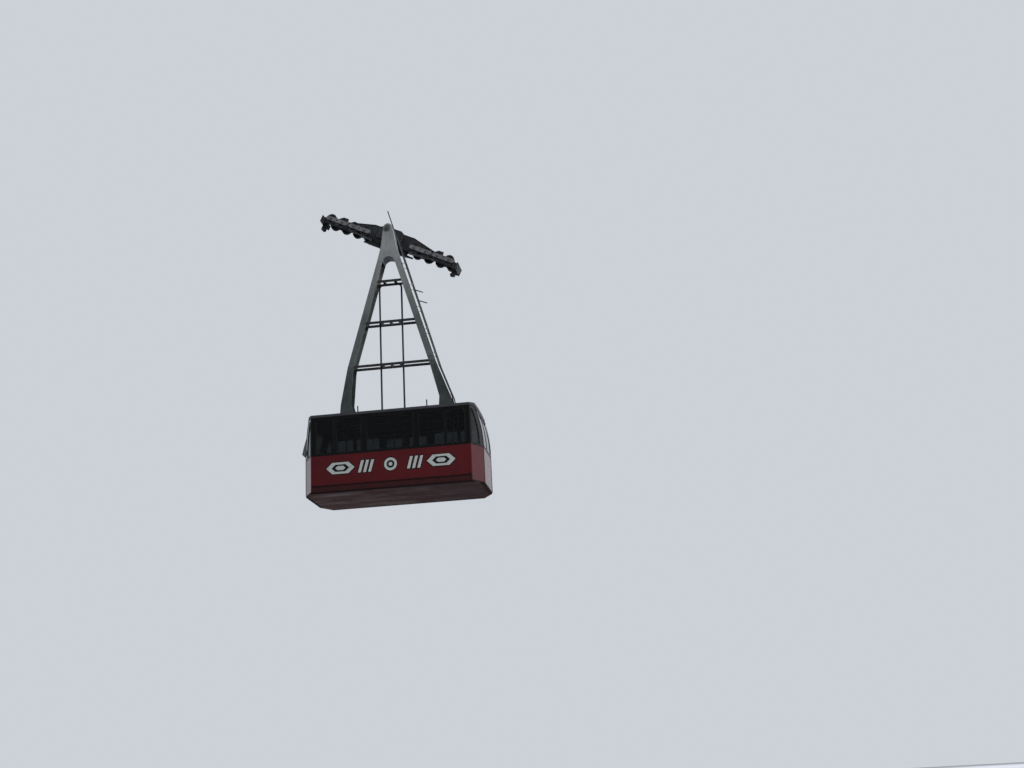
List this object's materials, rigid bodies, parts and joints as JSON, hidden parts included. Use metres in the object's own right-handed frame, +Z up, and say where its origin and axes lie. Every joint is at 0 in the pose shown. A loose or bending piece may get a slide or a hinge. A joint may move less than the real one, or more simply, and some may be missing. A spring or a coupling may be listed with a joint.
{
  "type": "cable car cabin",
  "caption": "Aerial tramway cabin with sliding doors, hung by an A-shaped frame from a sloping carriage of grooved wheels on two track ropes.",
  "frame": {"origin": "midway between the two track ropes at their centre line, plumb below the hanger's pivot", "axes": "+Z up with the cabin hanging plumb, +X downhill along the cabin, +Y to the door side; the carriage and its ropes slope 26 degrees down towards +X"},
  "size_m": [5.4341, 2.444, 9.1992],
  "materials": {
    "carriage_paint": "matt, oily",
    "shaft_steel": "machined",
    "truck_paint": "satin",
    "wheel_iron": "rough",
    "hanger_paint": "satin",
    "galvanised": "dull",
    "red_panel": "gloss paint",
    "roof_paint": "satin paint",
    "floor_paint": "dirty paint",
    "tinted_glass": "tinted",
    "rail_steel": "brushed",
    "desk_plastic": "matt"
  },
  "bodies": {
    "carriage": {"main_beam": "carriage_paint", "pivot_shaft": "shaft_steel", "rope_brake": "carriage_paint", "haul_sockets": "shaft_steel", "rockers": "carriage_paint", "end_brackets": "carriage_paint", "truck_1": "truck_paint", "truck_2": "truck_paint", "truck_3": "truck_paint", "truck_4": "truck_paint"},
    "cabin": {"hanger_head": "hanger_paint", "left_leg": "hanger_paint", "right_leg": "hanger_paint", "cross_bars": "hanger_paint", "service_hoop": "galvanised", "ladder": "galvanised", "roof_feet": "galvanised", "floor_pan": "floor_paint", "roof_shell": "roof_paint", "near_side": "red_panel", "far_side": "red_panel", "uphill_end": "red_panel", "downhill_end": "red_panel", "uphill_corners": "red_panel", "downhill_corners": "red_panel", "near_glass": "tinted_glass", "far_glass": "tinted_glass", "end_glass": "tinted_glass", "corner_glass": "tinted_glass", "vent_window": "tinted_glass", "door_rail": "rail_steel", "rub_rails": "red_panel", "grab_rails": "rail_steel", "control_desk": "desk_plastic"},
    "hatch_lid": {"roof_hatch": "roof_paint"},
    "left_door": {"door_left": "red_panel", "door_left_glass": "tinted_glass"},
    "right_door": {"door_right": "red_panel", "door_right_glass": "tinted_glass"},
    "near_wheel_1": {"near_wheel_1": "wheel_iron"},
    "near_wheel_2": {"near_wheel_2": "wheel_iron"},
    "near_wheel_3": {"near_wheel_3": "wheel_iron"},
    "near_wheel_4": {"near_wheel_4": "wheel_iron"},
    "near_wheel_5": {"near_wheel_5": "wheel_iron"},
    "near_wheel_6": {"near_wheel_6": "wheel_iron"},
    "near_wheel_7": {"near_wheel_7": "wheel_iron"},
    "near_wheel_8": {"near_wheel_8": "wheel_iron"},
    "far_wheel_1": {"far_wheel_1": "wheel_iron"},
    "far_wheel_2": {"far_wheel_2": "wheel_iron"},
    "far_wheel_3": {"far_wheel_3": "wheel_iron"},
    "far_wheel_4": {"far_wheel_4": "wheel_iron"},
    "far_wheel_5": {"far_wheel_5": "wheel_iron"},
    "far_wheel_6": {"far_wheel_6": "wheel_iron"},
    "far_wheel_7": {"far_wheel_7": "wheel_iron"},
    "far_wheel_8": {"far_wheel_8": "wheel_iron"},
    "uphill_roller": {"uphill_roller": "wheel_iron"},
    "downhill_roller": {"downhill_roller": "wheel_iron"}
  },
  "joints": [
    {"name": "hanger_swing", "type": "hinge", "parent": "carriage", "child": "cabin", "pos_m": [0, -0.63, 0.35], "axis": [0, 1, 0], "range_deg": [-19, 71]},
    {"name": "near_wheel_1_spin", "type": "hinge", "parent": "carriage", "child": "near_wheel_1", "pos_m": [-1.91369, -0.25, 1.11417], "axis": [0, 1, 0], "continuous": true},
    {"name": "near_wheel_2_spin", "type": "hinge", "parent": "carriage", "child": "near_wheel_2", "pos_m": [-1.56316, -0.25, 0.9432], "axis": [0, 1, 0], "continuous": true},
    {"name": "near_wheel_3_spin", "type": "hinge", "parent": "carriage", "child": "near_wheel_3", "pos_m": [-1.19915, -0.25, 0.76566], "axis": [0, 1, 0], "continuous": true},
    {"name": "near_wheel_4_spin", "type": "hinge", "parent": "carriage", "child": "near_wheel_4", "pos_m": [-0.84862, -0.25, 0.5947], "axis": [0, 1, 0], "continuous": true},
    {"name": "near_wheel_5_spin", "type": "hinge", "parent": "carriage", "child": "near_wheel_5", "pos_m": [0.71528, -0.25, -0.16807], "axis": [0, 1, 0], "continuous": true},
    {"name": "near_wheel_6_spin", "type": "hinge", "parent": "carriage", "child": "near_wheel_6", "pos_m": [1.06581, -0.25, -0.33903], "axis": [0, 1, 0], "continuous": true},
    {"name": "near_wheel_7_spin", "type": "hinge", "parent": "carriage", "child": "near_wheel_7", "pos_m": [1.42983, -0.25, -0.51657], "axis": [0, 1, 0], "continuous": true},
    {"name": "near_wheel_8_spin", "type": "hinge", "parent": "carriage", "child": "near_wheel_8", "pos_m": [1.78036, -0.25, -0.68754], "axis": [0, 1, 0], "continuous": true},
    {"name": "far_wheel_1_spin", "type": "hinge", "parent": "carriage", "child": "far_wheel_1", "pos_m": [-1.91369, 0.25, 1.11417], "axis": [0, 1, 0], "continuous": true},
    {"name": "far_wheel_2_spin", "type": "hinge", "parent": "carriage", "child": "far_wheel_2", "pos_m": [-1.56316, 0.25, 0.9432], "axis": [0, 1, 0], "continuous": true},
    {"name": "far_wheel_3_spin", "type": "hinge", "parent": "carriage", "child": "far_wheel_3", "pos_m": [-1.19915, 0.25, 0.76566], "axis": [0, 1, 0], "continuous": true},
    {"name": "far_wheel_4_spin", "type": "hinge", "parent": "carriage", "child": "far_wheel_4", "pos_m": [-0.84862, 0.25, 0.5947], "axis": [0, 1, 0], "continuous": true},
    {"name": "far_wheel_5_spin", "type": "hinge", "parent": "carriage", "child": "far_wheel_5", "pos_m": [0.71528, 0.25, -0.16807], "axis": [0, 1, 0], "continuous": true},
    {"name": "far_wheel_6_spin", "type": "hinge", "parent": "carriage", "child": "far_wheel_6", "pos_m": [1.06581, 0.25, -0.33903], "axis": [0, 1, 0], "continuous": true},
    {"name": "far_wheel_7_spin", "type": "hinge", "parent": "carriage", "child": "far_wheel_7", "pos_m": [1.42983, 0.25, -0.51657], "axis": [0, 1, 0], "continuous": true},
    {"name": "far_wheel_8_spin", "type": "hinge", "parent": "carriage", "child": "far_wheel_8", "pos_m": [1.78036, 0.25, -0.68754], "axis": [0, 1, 0], "continuous": true},
    {"name": "uphill_roller_spin", "type": "hinge", "parent": "carriage", "child": "uphill_roller", "pos_m": [-2.23471, 0, 0.9008], "axis": [0, 1, 0], "continuous": true},
    {"name": "downhill_roller_spin", "type": "hinge", "parent": "carriage", "child": "downhill_roller", "pos_m": [1.80986, 0, -1.07187], "axis": [0, 1, 0], "continuous": true},
    {"name": "roof_hatch_hinge", "type": "hinge", "parent": "cabin", "child": "hatch_lid", "pos_m": [0.8, 0.388, -5.485], "axis": [-1, 0, 0], "range_deg": [0, 100]},
    {"name": "right_door_slide", "type": "slide", "parent": "cabin", "child": "right_door", "axis": [1, 0, 0], "range_m": [0, 0.66]},
    {"name": "left_door_slide", "type": "slide", "parent": "cabin", "child": "left_door", "axis": [-1, 0, 0], "range_m": [0, 0.66]}
  ],
  "couplings": [
    {"joint": "left_door_slide", "follows": "right_door_slide", "ratio": 1}
  ]
}
